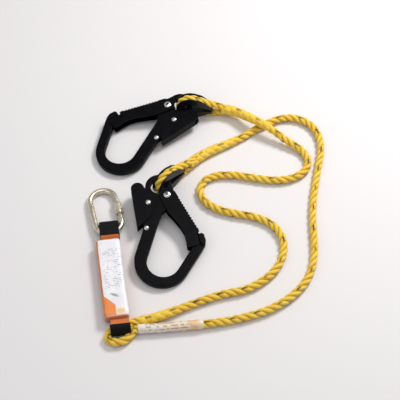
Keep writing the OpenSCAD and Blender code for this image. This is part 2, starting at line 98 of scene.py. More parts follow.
class Graph:
    """A material's nodes, made and joined with short calls."""

    def __init__(self, name, **sockets):
        self.mat = bpy.data.materials.new(name)
        self.mat.use_nodes = True
        self.tree = self.mat.node_tree
        self.shader = self.tree.nodes["Principled BSDF"]
        for key, value in sockets.items():
            socket = self.shader.inputs[key.replace("_", " ")]
            socket.default_value = (*value, 1) if isinstance(value, tuple) else value

    def node(self, kind, *inputs, **settings):
        n = self.tree.nodes.new("ShaderNode" + kind)
        for key, value in settings.items():
            setattr(n, key, value)
        for socket, value in zip(n.inputs, inputs):
            if isinstance(value, bpy.types.NodeSocket):
                self.tree.links.new(value, socket)
            else:
                socket.default_value = value
        return n

    def math(self, what, *inputs, clamp=False):
        return self.node("Math", *inputs, operation=what, use_clamp=clamp).outputs[0]

    def place(self):
        return self.node("TexCoord").outputs["Object"]

    def uv(self):
        split = self.node("SeparateXYZ", self.node("TexCoord").outputs["UV"])
        return split.outputs[0], split.outputs[1]

    def join(self, x, y, z=0.0):
        return self.node("CombineXYZ", x, y, z).outputs[0]

    def noise(self, scale, detail=4.0, rough=0.5):
        n = self.node("TexNoise", self.place())
        n.inputs["Scale"].default_value = scale
        n.inputs["Detail"].default_value = detail
        n.inputs["Roughness"].default_value = rough
        return n.outputs["Fac"]

    def ramp(self, value, *stops):
        r = self.node("ValToRGB", value)
        band = r.color_ramp
        while len(band.elements) < len(stops):
            band.elements.new(0.5)
        for e, (at, colour) in zip(band.elements, stops):
            e.position = at
            e.color = (*colour, 1)
        return r.outputs["Color"]

    def mix(self, factor, a, b):
        m = self.node("Mix", data_type="RGBA")
        for socket, value in zip([m.inputs[0], m.inputs[6], m.inputs[7]], [factor, a, b]):
            if isinstance(value, bpy.types.NodeSocket):
                self.tree.links.new(value, socket)
            else:
                socket.default_value = (*value, 1) if isinstance(value, tuple) else value
        return m.outputs[2]

    def between(self, value, low, high, soft):
        """1 where value lies between low and high, with soft edges."""
        rise = self.math("DIVIDE", self.math("SUBTRACT", value, low), soft, clamp=True)
        fall = self.math("DIVIDE", self.math("SUBTRACT", high, value), soft, clamp=True)
        return self.math("MULTIPLY", rise, fall)

    def spread(self, value, low, high, to_low, to_high):
        """Value moved from the range low to high to another range."""
        return self.node("MapRange", value, low, high, to_low, to_high).outputs[0]

    def to(self, socket, value):
        self.tree.links.new(value, self.shader.inputs[socket])

    def bump(self, height, strength, distance):
        """Relief in the surface's normal; distance is its height in metres."""
        b = self.node("Bump")
        b.inputs["Strength"].default_value = strength
        b.inputs["Distance"].default_value = distance
        self.tree.links.new(height, b.inputs["Height"])
        self.to("Normal", b.outputs["Normal"])


def rope_material():
    """Yellow yarns with painted shade darkening the grooves between strands, and the strand's
    dark tracer where mark is 1.
    """
    g = Graph("rope_yellow", Roughness=0.55, Specular_IOR_Level=0.35,
              Sheen_Weight=0.25, Sheen_Roughness=0.4)
    u, v = g.uv()
    yarns = g.node("TexWave", g.join(u, g.math("MULTIPLY", v, 0.12)))
    yarns.inputs["Scale"].default_value = 9.0
    yarns.inputs["Distortion"].default_value = 1.2
    yarns.inputs["Detail"].default_value = 2.0
    # Painted shade: the depth attribute is 1 in the grooves between the strands
    groove_shade = g.node("Attribute", attribute_name="depth").outputs["Fac"]
    mark = g.node("Attribute", attribute_name="mark").outputs["Fac"]
    patch = g.noise(45.0, 3.0)
    base = g.ramp(patch, (0.3, (0.92, 0.57, 0.045)), (0.7, (0.98, 0.71, 0.085)))
    lit = g.mix(g.math("MULTIPLY", yarns.outputs["Fac"], 0.22), base, (0.70, 0.42, 0.025))
    # Painted shade: the yarn colour is darkened in the grooves
    shaded = g.mix(g.math("MULTIPLY", groove_shade, 0.7), lit, (0.46, 0.25, 0.012))
    g.to("Base Color", g.mix(mark, shaded, (0.018, 0.013, 0.012)))
    g.bump(yarns.outputs["Fac"], 0.55, 0.0005)
    return g.mat


def weave_material(name, colour, dark, across, along, rough=0.65, sheen=0.3, shine=0.3):
    """Woven webbing: UV x runs across it and y along it, both in metres."""
    g = Graph(name, Roughness=rough, Specular_IOR_Level=shine, Sheen_Weight=sheen)
    u, v = g.uv()
    warp = g.math("ABSOLUTE", g.math("SINE", g.math("MULTIPLY", u, math.pi * across)))
    lift = g.math("MULTIPLY", g.math("FLOOR", g.math("MULTIPLY", u, across)), 0.5)
    row = g.math("ADD", g.math("MULTIPLY", v, along), lift)
    weft = g.math("ABSOLUTE", g.math("SINE", g.math("MULTIPLY", row, math.pi)))
    cloth = g.math("MULTIPLY", g.math("POWER", warp, 0.5),
                   g.math("ADD", g.math("MULTIPLY", weft, 0.6), 0.4))
    patch = g.noise(60.0, 3.0)
    tone = g.mix(g.math("MULTIPLY", patch, 0.5), colour, tuple(c * 0.7 for c in colour))
    g.to("Base Color", g.mix(g.math("SUBTRACT", 0.9, cloth, clamp=True), tone, dark))
    g.bump(cloth, 0.8, 0.0004)
    return g.mat


def metal_material(name, light, dark, rough, grain, grain_depth, spots=90.0):
    """Plated steel, cloudy in tone and gloss, with a fine grain."""
    g = Graph(name, Metallic=1.0)
    patch = g.noise(spots, 5.0, rough=0.6)
    g.to("Base Color", g.ramp(patch, (0.32, dark), (0.68, light)))
    g.to("Roughness", g.spread(g.noise(spots * 2.2, 4.0), 0.3, 0.7, rough * 0.75, rough * 1.35))
    g.bump(g.noise(grain, 3.0), grain_depth, 0.0003)
    return g.mat


def black_paint_material():
    """Black finish on forged and pressed steel, with fine orange peel and a few rubbed spots."""
    g = Graph("hook_black", Specular_IOR_Level=0.07)
    patch = g.noise(55.0, 5.0)
    tone = g.ramp(patch, (0.3, (0.001, 0.001, 0.0015)), (0.75, (0.004, 0.004, 0.006)))
    rubbed = g.spread(g.noise(150.0, 7.0, rough=0.7), 0.66, 0.74, 0.0, 0.7)
    g.to("Base Color", g.mix(rubbed, tone, (0.05, 0.048, 0.047)))
    g.to("Roughness", g.spread(g.noise(180.0, 4.0), 0.3, 0.7, 0.34, 0.50))
    g.bump(g.noise(900.0, 4.0, rough=0.65), 0.35, 0.0003)
    return g.mat


def plastic_material(name, colour, rough):
    """Moulded plastic, a little uneven in tone and gloss."""
    g = Graph(name, Specular_IOR_Level=0.3)
    tone = g.ramp(g.noise(70.0, 4.0), (0.3, tuple(c * 0.8 for c in colour)), (0.7, colour))
    g.to("Base Color", tone)
    g.to("Roughness", g.spread(g.noise(140.0), 0.3, 0.7, rough * 0.85, rough * 1.2))
    g.bump(g.noise(500.0, 3.0), 0.12, 0.0003)
    return g.mat


def print_rows(g, across, along, rows, marks, fill):
    """Rows of short grey bars, like small print seen from afar. No letters."""
    row = g.math("MULTIPLY", along, rows)
    in_row = g.between(g.math("FRACT", row), 0.30, 0.72, 0.10)
    cell = g.join(g.math("MULTIPLY", across, marks), g.math("FLOOR", row))
    cell = g.node("VectorMath", cell, operation="FLOOR").outputs[0]
    some = g.node("TexWhiteNoise", cell).outputs["Value"]
    return g.math("MULTIPLY", in_row, g.math("GREATER_THAN", fill, some))


def label_material():
    """White film label: print, a dark blot, an orange corner and a yellow patch."""
    g = Graph("pack_label_film", Roughness=0.38, Specular_IOR_Level=0.4,
              Coat_Weight=0.2, Coat_Roughness=0.2)
    u, v = g.uv()      # u from the left edge 0 to 1, v from the rope end 0 to 1
    paper = g.ramp(g.noise(26.0, 4.0), (0.3, (0.80, 0.79, 0.84)), (0.7, (0.93, 0.92, 0.94)))
    rows = print_rows(g, u, v, 46.0, 20.0, 0.62)
    area = g.math("MULTIPLY", g.between(u, 0.10, 0.90, 0.03), g.between(v, 0.33, 0.88, 0.02))
    block = g.node("TexNoise", g.join(g.math("MULTIPLY", u, 1.6), g.math("MULTIPLY", v, 6.0)))
    block.inputs["Scale"].default_value = 2.4
    block.inputs["Detail"].default_value = 1.0
    some = g.spread(block.outputs["Fac"], 0.44, 0.5, 0.0, 1.0)
    ink = g.math("MULTIPLY", g.math("MULTIPLY", rows, area), g.math("MULTIPLY", some, 0.8))
    printed = g.mix(ink, paper, (0.24, 0.24, 0.29))
    # Orange corner, bounded by a slanting line, and the yellow patch beside it
    slant = g.math("ADD", g.math("MULTIPLY", u, 0.29), v)
    corner = g.math("MULTIPLY", g.between(slant, -1.0, 0.27, 0.008),
                    g.between(u, -1.0, 0.46, 0.05))
    printed = g.mix(corner, printed, (0.85, 0.27, 0.07))
    patch = g.math("MULTIPLY", g.between(u, 0.38, 0.86, 0.14),
                   g.between(v, 0.005, 0.105, 0.04))
    printed = g.mix(g.math("MULTIPLY", patch, 0.85), printed, (0.85, 0.55, 0.13))
    # Dark blot: a slim slanting ellipse
    du = g.math("SUBTRACT", u, 0.44)
    dv = g.math("SUBTRACT", g.math("SUBTRACT", v, 0.262), g.math("MULTIPLY", du, -0.13))
    off = g.math("ADD", g.math("POWER", g.math("DIVIDE", du, 0.21), 2.0),
                 g.math("POWER", g.math("DIVIDE", dv, 0.024), 2.0))
    blot = g.math("SUBTRACT", 1.0, off, clamp=True)
    printed = g.mix(g.math("MULTIPLY", blot, 0.8), printed, (0.16, 0.17, 0.18))
    # The film's own lower rim
    rim = g.between(v, -1.0, 0.016, 0.006)
    printed = g.mix(rim, printed, (0.82, 0.50, 0.42))
    g.to("Base Color", printed)
    g.bump(g.noise(34.0, 3.0), 0.35, 0.0012)
    return g.mat


LAYER = 0.0027             # height of one layer of the folded webbing, in metres


def film_material():
    """Clear film over folded orange webbing: UV y is the height, so the layers show as lines;
    painted shade darkens the lowest 10 mm.
    """
    g = Graph("pack_film", Roughness=0.32, Specular_IOR_Level=0.5,
              Coat_Weight=0.6, Coat_Roughness=0.12)
    v = g.uv()[1]
    layers = g.math("ABSOLUTE", g.math("SINE", g.math("MULTIPLY", v, math.pi / LAYER)))
    patch = g.noise(40.0, 4.0)
    tone = g.ramp(patch, (0.3, (0.66, 0.18, 0.05)), (0.7, (0.84, 0.30, 0.11)))
    line = g.math("SUBTRACT", 0.62, layers, clamp=True)
    lined = g.mix(line, tone, (0.16, 0.05, 0.015))
    # Painted shade: darker brown below about 10 mm height, next to the floor
    low = g.between(v, -1.0, 0.010, 0.003)
    g.to("Base Color", g.mix(g.math("MULTIPLY", low, 0.7), lined, (0.07, 0.028, 0.012)))
    g.bump(g.noise(60.0, 4.0), 0.5, 0.0012)
    return g.mat


def sleeve_material():
    """Clear shrink sleeve over a white printed strip."""
    g = Graph("printed_sleeve", Roughness=0.3, Specular_IOR_Level=0.5,
              Coat_Weight=0.5, Coat_Roughness=0.1)
    u, v = g.uv()      # u round the rope, v along the sleeve, both 0 to 1
    pale = g.ramp(g.noise(38.0, 4.0), (0.3, (0.74, 0.64, 0.54)), (0.7, (0.90, 0.84, 0.78)))
    under = g.ramp(g.noise(24.0, 4.0), (0.35, (0.88, 0.60, 0.28)), (0.65, (0.90, 0.72, 0.55)))
    worn = g.spread(g.math("ADD", v, g.noise(30.0, 3.0)), 0.75, 1.35, 0.0, 0.85)
    base = g.mix(worn, pale, under)
    rows = print_rows(g, v, u, 9.0, 34.0, 0.55)
    ink = g.math("MULTIPLY", g.math("MULTIPLY", rows, g.between(v, 0.10, 0.90, 0.02)), 0.75)
    base = g.mix(ink, base, (0.16, 0.15, 0.15))
    warm = g.math("MULTIPLY", g.between(v, 0.76, 0.96, 0.06), 0.75)
    base = g.mix(warm, base, (0.85, 0.50, 0.24))
    g.to("Base Color", base)
    g.bump(g.noise(55.0, 4.0), 0.4, 0.001)
    return g.mat


ROPE = rope_material()
ORANGE = weave_material("webbing_orange", (0.84, 0.235, 0.045), (0.36, 0.07, 0.012),
                        700.0, 500.0)
GUARD = weave_material("guard_black", (0.005, 0.005, 0.006), (0.001, 0.001, 0.001),
                       900.0, 800.0, 0.40, 0.0, 0.12)
THIMBLE = plastic_material("thimble_black", (0.008, 0.008, 0.009), 0.38)
LABEL = label_material()
FILM = film_material()
SLEEVE = sleeve_material()
HOOK = black_paint_material()
RIVET = metal_material("rivet_steel", (0.74, 0.74, 0.73), (0.58, 0.58, 0.57),
                       0.26, 700.0, 0.2)
SPRING = metal_material("spring_steel", (0.5, 0.5, 0.5), (0.35, 0.35, 0.35),
                        0.32, 700.0, 0.1)
CONNECTOR = metal_material("zinc_passivated", (0.88, 0.82, 0.69), (0.64, 0.57, 0.43),
                           0.27, 500.0, 0.22, 55.0)

# ---------------------------------------------------------------- mesh helpers


def make(name, verts, faces, uvs, material, nodes, extra=None):
    """A piece of the lanyard's soft body, from points in mm in the drawing's frame.
    It stands for the nodes named; extra holds numbers kept on each point."""
    mesh = bpy.data.meshes.new(name)
    points = (np.asarray(verts, float).reshape(-1, 3) + MIDDLE) * MM
    mesh.from_pydata(points.tolist(), [], [list(map(int, f)) for f in faces])
    layer = mesh.uv_layers.new(name="UVMap")
    layer.data.foreach_set("uv", np.asarray(uvs, float).ravel())
    for key, values in (extra or {}).items():
        attribute = mesh.attributes.new(key, "FLOAT", "POINT")
        attribute.data.foreach_set("value", np.asarray(values, float).ravel())
    mesh.materials.append(material)
    mesh.polygons.foreach_set("use_smooth", [True] * len(mesh.polygons))
    mesh.update()
    piece = bpy.data.objects.new(name, mesh)
    bpy.context.scene.collection.objects.link(piece)
    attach(piece, "lanyard")
    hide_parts(*nodes)
    return piece


def grid(rows, cols, u, v, closed=True):
    """Faces and loop UVs of a sheet of rows by cols points.
    A closed one joins its last column to its first and has a cap at each end."""
    last = cols if closed else cols - 1
    faces, uvs = [], []
    for i in range(rows - 1):
        for j in range(last):
            k = (j + 1) % cols
            faces.append((i * cols + j, i * cols + k, (i + 1) * cols + k, (i + 1) * cols + j))
            for a, b in ((i, j), (i, j + 1), (i + 1, j + 1), (i + 1, j)):
                uvs.append((u[a][b], v[a][b]))
    if closed:
        for i in (0, rows - 1):
            face = [i * cols + j for j in range(cols)]
            faces.append(face[::-1] if i == 0 else face)
            pairs = [(u[i][j], v[i][j]) for j in range(cols)]
            uvs += pairs[::-1] if i == 0 else pairs
    return faces, uvs


def lengths(line):
    """How far along the line each of its points is."""
    return np.concatenate([[0], np.cumsum(np.linalg.norm(np.diff(line, axis=0), axis=1))])


def resample(line, step):
    """The same line with even steps."""
    run = lengths(line)
    count = max(2, int(round(run[-1] / step)) + 1)
    at = np.linspace(0, run[-1], count)
    return np.stack([np.interp(at, run, line[:, k]) for k in range(3)], 1)


CURVE_POINTS = 24          # points worked out between two points given


def smooth_path(points, step):
    """A smooth curve through points, resampled to even steps; centripetal Catmull-Rom."""
    p = [np.asarray(x, float) for x in points]
    p = [2 * p[0] - p[1]] + p + [2 * p[-1] - p[-2]]
    out = []
    for a, b, c, d in zip(p, p[1:], p[2:], p[3:]):
        t1 = np.linalg.norm(b - a) ** 0.5
        t2 = t1 + np.linalg.norm(c - b) ** 0.5
        t3 = t2 + np.linalg.norm(d - c) ** 0.5
        for t in np.linspace(t1, t2, CURVE_POINTS, endpoint=False):
            a1 = (t1 - t) / t1 * a + t / t1 * b
            a2 = (t2 - t) / (t2 - t1) * b + (t - t1) / (t2 - t1) * c
            a3 = (t3 - t) / (t3 - t2) * c + (t - t2) / (t3 - t2) * d
            b1 = (t2 - t) / t2 * a1 + t / t2 * a2
            b2 = (t3 - t) / (t3 - t1) * a2 + (t - t1) / (t3 - t1) * a3
            out.append((t2 - t) / (t2 - t1) * b1 + (t - t1) / (t2 - t1) * b2)
    out.append(p[-2])
    return resample(np.array(out), step)


def frames(line, side=None):
    """Tangent, side and upward direction at each point; side is fixed for a path in one plane."""
    t = np.gradient(line, axis=0)
    t /= np.linalg.norm(t, axis=1)[:, None]
    s = np.cross(t, UP) if side is None else np.tile(np.asarray(side, float), (len(line), 1))
    s /= np.linalg.norm(s, axis=1)[:, None]
    return t, s, np.cross(s, t)


# ---------------------------------------------------------------- rope

ROPE_R = 7.0
PROUD = 1.05               # the strands' crowns stand a little outside the nominal size
LAY = 44.0                 # one turn of a strand along the rope
STRANDS = 3
COLUMNS = 48               # points round the rope
LOBE_R, LOBE_AT = 3.95, 3.05           # a strand's radius and its middle's distance out
TUCKED_LOW, TUCKED_RISE = 0.74, 0.22   # relief of a splice, as parts of the radius
TRACER_SIDES = (90.0, 205.0, 335.0)    # where round the rope the tracer shows, in degrees
SPLICE_R = 9.4
SPLICE_LEN = 120.0
ABOVE_FLOOR = 0.05         # nothing soft goes lower than this


def lobe(angle):
    """Outline of three strands lying together; angle is from a strand's middle."""
    return LOBE_AT * np.cos(angle) + np.sqrt(LOBE_R ** 2 - (LOBE_AT * np.sin(angle)) ** 2)


def rope_surface(line, run, radius, woven, side=None):
    """Points, UVs, painted groove shade and tracer marks of laid rope along line.
    woven is 0 for plain rope and 1 for a splice, whose tucked strands cross the rope's own."""
    t, s, n = frames(line, side)
    base = np.arange(COLUMNS + 1) * TAU / COLUMNS
    turn = -TAU * run / LAY
    theta = base[None, :] + turn[:, None]                  # columns follow the strands
    from_lobe = (base + TAU / STRANDS / 2) % (TAU / STRANDS) - TAU / STRANDS / 2
    plain = np.tile(lobe(from_lobe) / (LOBE_AT + LOBE_R), (len(line), 1))
    # In a splice two sets of strands, a and b, cross and pass over and under each other
    a = STRANDS * (theta + TAU * run[:, None] / LAY) / TAU
    b = STRANDS * (theta - TAU * run[:, None] / (LAY * 0.9)) / TAU
    round_a = np.abs(np.sin(math.pi * (a + 0.5))) ** 0.7
    round_b = np.abs(np.sin(math.pi * (b + 0.5))) ** 0.7
    over = 0.35 * np.cos(math.pi * (np.floor(a + 0.5) + b))
    under = -0.35 * np.cos(math.pi * (a + np.floor(b + 0.5)))
    higher = np.clip(np.maximum(round_a + over, round_b + under), 0, 1.2)
    tucked = TUCKED_LOW + TUCKED_RISE * higher
    w = np.asarray(woven)[:, None]
    shape = plain * (1 - w) + tucked * w
    r = PROUD * np.asarray(radius)[:, None] * shape
    points = (line[:, None, :] + r[..., None]
              * (np.cos(theta)[..., None] * s[:, None, :]
                 + np.sin(theta)[..., None] * n[:, None, :]))
    points[..., 2] = np.maximum(points[..., 2], ABOVE_FLOOR)
    # Painted shade: depth is 1 in the grooves between strands, where the colour is darkened
    depth = np.clip((0.90 - shape) / 0.22, 0, 1)
    # One strand carries a dark tracer, seen as short dashes, no two quite alike
    column = np.arange(COLUMNS + 1) % COLUMNS
    marked_strand = (column < COLUMNS / 6) | (column > COLUMNS * 5 / 6)
    vary = (np.sin(np.round(turn / TAU) * 12.9898) * 43758.5453 % 1.0)[:, None]
    half_width = 0.16 + 0.12 * vary      # radians round the rope
    half_length = 5.2 + 2.6 * vary       # mm along it
    mark = np.zeros_like(r)
    for aim in TRACER_SIDES:
        around = (theta - math.radians(aim) + math.pi) % TAU - math.pi + 0.15 * (vary - 0.5)
        crest = (turn[:, None] - math.radians(aim) + math.pi) % TAU - math.pi
        dash = (np.clip((half_width - np.abs(around)) / 0.12 + 0.5, 0, 1)
                * np.clip((half_length - np.abs(crest / TAU * LAY)) / 2.2, 0, 1))
        mark = np.maximum(mark, dash * marked_strand[None, :])
    v = np.repeat(run[:, None], COLUMNS + 1, 1) / LAY
    return points[:, :-1], theta / TAU, v, depth[:, :-1], mark[:, :-1]


def rope_piece(name, line, run, radius, woven, node, side=None):
    """A piece of laid rope that stands for the node. Its tracer is fainter in a splice."""
    p, u, v, depth, mark = rope_surface(line, run, radius, woven, side)
    faces, uvs = grid(len(line), COLUMNS, u, v)
    faint = 0.92 - 0.25 * np.asarray(woven)[:, None]
    # The depth attribute carries the painted groove shade
    return make(name, p, faces, uvs, ROPE, [node], {"depth": depth, "mark": mark * faint})


THIMBLE_R = 10.5
THIMBLE_BASE = 2.5
TURN_R = THIMBLE_R + THIMBLE_BASE + ROPE_R + 0.05      # the rope's turn round a thimble
EYE_Z = TURN_R + ROPE_R
THROAT = 62.0              # from the turn's middle to where the two strands meet
STRAND_GAP = 2 * ROPE_R + 0.4
THROAT_Z = ROPE_R + STRAND_GAP / 2
EYE_1, WAY_1 = np.array([-19.0, 201.0, EYE_Z]), 0.0
EYE_2, WAY_2 = np.array([-63.0, 24.0, EYE_Z]), 48.0


def throat_of(eye, way):
    """Where the two strands of a rope eye meet."""
    p = eye + THROAT * polar(way)
    p[2] = THROAT_Z
    return p


# The routes of the rope's middle line, as in the CAD, in mm
ROUTE_A = [
    (-112, -269.5, 9), (-72, -265.5, 9), (-32, -261.5, 9), (8, -257.5, 9), (44, -252, 7.5),
    (82, -243, 7), (118, -230, 7), (150, -211, 7), (176, -187, 7), (194, -158, 7),
    (203, -124, 7), (205, -88, 7), (205, -50, 7), (208, -10, 7), (215, 32, 7), (223, 72, 7),
    (230, 110, 7), (227, 144, 7), (212, 170, 7), (186, 184, 7), (158, 184, 7), (134, 174, 7),
    (108, 158, 7), (76, 136, 7.2), (44, 118, 7.8), (18, 104, 8.6), (-4, 88.5, 10),
    throat_of(EYE_2, WAY_2)]
ROUTE_B = [
    (-112, -253.5, 7.5), (-84, -248, 7.5), (-54, -237, 7), (-22, -223, 7), (10, -210, 7),
    (44, -199, 7), (78, -191, 7), (108, -175, 7), (133, -151, 7), (148, -120, 7),
    (148, -86, 7), (130, -57, 7), (98, -41, 7), (64, -34, 7), (32, -24, 7), (10, -8, 7),
    (0, 14, 7), (8, 37, 7), (30, 49, 7), (60, 51, 7), (94, 46, 7), (130, 40, 7), (164, 42, 7),
    (192, 56, 7), (204, 80, 7), (194, 106, 8), (166, 126, 13), (138, 146, 21), (114, 162, 24),
    (90, 179, 21), (68, 194, 16), throat_of(EYE_1, WAY_1)]
ROUTE_EYE = [
    (-112, -253.5, 7.5), (-123, -259, 9.5), (-136, -265, 12.3), (-148, -269.5, 10.5),
    (-155.5, -277, 8), (-154.5, -286, 7), (-146, -291, 7), (-134, -290.5, 7), (-123.5, -285, 7.5),
    (-117, -277, 8.5), (-112, -269.5, 9)]
STEP = 1.6


def nearest(line, point):
    return int(np.argmin(np.linalg.norm(line - np.asarray(point, float), axis=1)))


# The rope is one length: hook 2's splice, leg A, the absorber's eye, leg B, hook 1's splice.
# Its radius and weave also swell over the short splice where leg B leaves the absorber's eye.
EYE_SPLICE, EYE_SPLICE_FADE, EYE_SPLICE_SWELL = 92, 40, 1.25
whole = smooth_path(ROUTE_A[::-1] + ROUTE_EYE[::-1][1:-1] + ROUTE_B, STEP)
whole_run = lengths(whole)
cut_a, cut_b = nearest(whole, ROUTE_A[0]), nearest(whole, ROUTE_B[0])
from_ends = np.minimum(whole_run, whole_run[-1] - whole_run)
taper = np.clip(1 - from_ends / SPLICE_LEN, 0, 1)
radius = ROPE_R + (SPLICE_R - ROPE_R) * np.minimum(taper * 1.25, 1)
woven = np.clip(taper * 6, 0, 1)
after_b = whole_run - whole_run[cut_b]
swell = np.clip(np.minimum(after_b / 14, (EYE_SPLICE - after_b) / EYE_SPLICE_FADE), 0, 1)
radius = radius + EYE_SPLICE_SWELL * swell
woven = np.maximum(woven, swell)
whole[:, 2] = np.maximum(whole[:, 2], PROUD * radius + 0.1)


def leg_piece(name, first, last, node):
    part = slice(first, last + 1)
    return rope_piece(name, whole[part], whole_run[part], radius[part], woven[part], node)


leg_a = leg_piece("leg_a_rope", 0, cut_a, "rope_leg_a")
leg_b = leg_piece("leg_b_rope", cut_b, len(whole) - 1, "rope_leg_b")
leg_piece("absorber_eye_rope", cut_a, cut_b, "rope_eye_absorber")

# Eyes round the thimbles, each in an upright plane
EYE_END = 26               # the eye's ends run this far into the splice and get thinner there
top_end = np.array([THROAT, STRAND_GAP - TURN_R])
top_angle = math.degrees(math.atan2(top_end[1], top_end[0])
                         + math.acos(TURN_R / np.linalg.norm(top_end)))


def upright(eye, way, flat):
    """Points drawn in the plane of a turn, as (along, height), put in their place."""
    flat = np.asarray(flat, float)
    return eye + flat[:, :1] * polar(way) + flat[:, 1:2] * UP


def eye_rope(number, eye, way):
    arc = [TURN_R * np.array([math.cos(math.radians(a)), math.sin(math.radians(a))])
           for a in np.linspace(270, top_angle, 40)]
    over = np.array([math.sin(math.radians(top_angle)), -math.cos(math.radians(top_angle))])
    low = [(THROAT + EYE_END, -TURN_R + 3.6), (THROAT + 10, -TURN_R + 0.8),
           (THROAT - 4, -TURN_R), (THROAT / 2, -TURN_R)]
    high = [top_end * 0.5 + arc[-1] * 0.5, top_end, top_end + over * 12 + (0, 2.2),
            top_end + over * EYE_END + (0, 7.2)]
    line = resample(upright(eye, way, np.vstack([low, arc, high])), STEP)
    run = lengths(line)
    left = np.minimum(run, run[-1] - run)
    r = ROPE_R - 2.2 * np.clip(1 - left / EYE_END, 0, 1)
    side = np.cross(polar(way), UP)
    rope_piece(f"hook_{number}_eye_rope", line, run, r, np.zeros(len(line)),
               f"rope_eye_hook_{number}", side)


eye_rope(1, EYE_1, WAY_1)
eye_rope(2, EYE_2, WAY_2)

# Printed sleeve on leg A: the strands show faintly through it, and its ends are shrunk on
SLEEVE_FROM, SLEEVE_TO = (-105.4, -268.8, 9), (5.5, -257.7, 9)
SLEEVE_R = 7.55
line = whole[nearest(whole, SLEEVE_TO):nearest(whole, SLEEVE_FROM) + 1]
run = lengths(line)
_, s, n = frames(line)
columns = 40
angle = np.arange(columns + 1) * TAU / columns
swirl = angle[None, :] + TAU * run[:, None] / LAY
ends = np.clip(np.minimum(run, run[-1] - run) / 5.0, 0, 1)[:, None]
r = (SLEEVE_R + 0.62 * ends + 0.28 * np.cos(STRANDS * swirl) * ends
     + 0.12 * np.sin(run / 5.1)[:, None])
tube = line[:, None, :] + r[..., None] * (np.cos(angle)[None, :, None] * s[:, None, :]
                                          + np.sin(angle)[None, :, None] * n[:, None, :])
uu = np.tile(angle / TAU, (len(line), 1))
vv = np.repeat((1 - run / run[-1])[:, None], columns + 1, 1)
faces, uvs = grid(len(line), columns, uu, vv)
make("label_sleeve", tube[:, :-1], faces, uvs, SLEEVE, ["rope_label_sleeve"])

# ---------------------------------------------------------------- energy absorber

PACK_AT = np.array([-153.5, -173.5, 0.0])
PACK_TURN = 8.7            # degrees about the vertical
PACK_L, PACK_W, PACK_T = 156.0, 44.0, 24.0
WEB_Z, WEB_SHIFT = 12.3, 4.8           # the webbing's height and its offset across the pack
SQUARE = 0.42              # power that makes the cross-section a rounded rectangle


def turned(at, degrees, points):
    """Points in a frame turned about the vertical and put at a place."""
    p = np.asarray(points, float)
    c, q = math.cos(math.radians(degrees)), math.sin(math.radians(degrees))
    out = np.array(p)
    out[..., 0] = at[0] + c * p[..., 0] - q * p[..., 1]
    out[..., 1] = at[1] + q * p[..., 0] + c * p[..., 1]
    out[..., 2] = at[2] + p[..., 2]
    return out


def wobble(points, scale, depth, seed):
    """A small smooth push of each point, the same each run."""
    p = np.asarray(points, float)
    f = 1.0 / scale
    a = (np.sin(p[..., 0] * f * 1.3 + p[..., 1] * f * 0.7 + seed)
         * np.cos(p[..., 1] * f * 1.1 - p[..., 2] * f + seed * 2.1))
    b = np.sin(p[..., 1] * f * 2.3 + p[..., 2] * f * 1.9 + seed * 1.7)
    return depth * (0.65 * a + 0.35 * b)


def squared(angle):
    """x and z of a rounded square, 1 in half-size, at angles counter-clockwise from the right."""
    c, q = np.cos(angle), np.sin(angle)
    return np.sign(c) * np.abs(c) ** SQUARE, np.sign(q) * np.abs(q) ** SQUARE


def pack_half_sizes(y):
    """Half width and half thickness of the pack at y, from -1 to 1 along it."""
    near_end = np.clip((abs(y) - 0.86) / 0.14, 0, 1)
    return PACK_W / 2 * (1 - 0.08 * near_end ** 2), PACK_T / 2 * (1 - 0.20 * near_end ** 2.2)


def crumple(points):
    """Wrinkles of the film, coarse and fine, the same for the pack and its label."""
    return wobble(points, 9.0, 0.45, 1.0) + wobble(points, 3.7, 0.16, 5.0)


ROUND = 72                 # points round the pack
section_x, section_z = squared(np.arange(ROUND) * TAU / ROUND)
along = np.concatenate([[-1.0, -0.995], np.linspace(-0.985, 0.985, 60), [0.995, 1.0]])
pack_points = []
for y in along:
    wide, thick = pack_half_sizes(y)
    past = abs(y) - 0.99               # the last two rings round off the end
    if past > 0:
        wide, thick = wide - 1.2 - past * 400, thick - 1.2 - past * 200
    pack_points.append(np.stack([section_x * wide, np.full(ROUND, y * PACK_L / 2),
                                 PACK_T / 2 + section_z * thick], 1))
pack_points = np.array(pack_points)
push = crumple(pack_points)
pack_points[..., 0] += push * np.sign(pack_points[..., 0]) * 0.8
pack_points[..., 2] += np.where(pack_points[..., 2] > 4, push, 0)
pack_points[..., 2] = np.maximum(pack_points[..., 2], ABOVE_FLOOR)
uu = np.repeat(along[:, None] * PACK_L / 2 * MM, ROUND + 1, 1)
vv = np.hstack([pack_points[..., 2], pack_points[:, :1, 2]]) * MM
faces, uvs = grid(len(along), ROUND, uu, vv)
make("pack_wrap", turned(PACK_AT, PACK_TURN, pack_points), faces, uvs, FILM,
     ["cover", "tear_webbing"])

# Label on the pack's top, folded over its right edge
LABEL_OUT = 0.35           # how far it stands off the pack
LABEL_THICK = 0.25
label_rows = np.linspace(-0.988, 0.975, 96)
label_cols = np.linspace(0, 1, 40)
label_x, label_z = squared(np.radians(np.interp(label_cols, [0, 0.5, 1], [127, 90, 12])))
sheet = []
for y in label_rows:
    wide, thick = pack_half_sizes(y)
    sheet.append(np.stack([label_x * (wide + LABEL_OUT), np.full(len(label_cols), y * PACK_L / 2),
                           PACK_T / 2 + label_z * (thick + LABEL_OUT)], 1))
sheet = np.array(sheet)
push = crumple(sheet)
sheet[..., 0] += push * np.sign(sheet[..., 0]) * 0.8
sheet[..., 2] += push
width_run = np.array([lengths(row) for row in sheet])
uu = width_run / width_run[:, -1:]
vv = (label_rows - label_rows[0]) / (label_rows[-1] - label_rows[0])
vv = np.repeat(vv[:, None], len(label_cols), 1)
faces, uvs = grid(len(label_rows), len(label_cols), uu, vv, closed=False)
upward = [f[::-1] for f in faces]      # columns run clockwise here, so each face is turned over
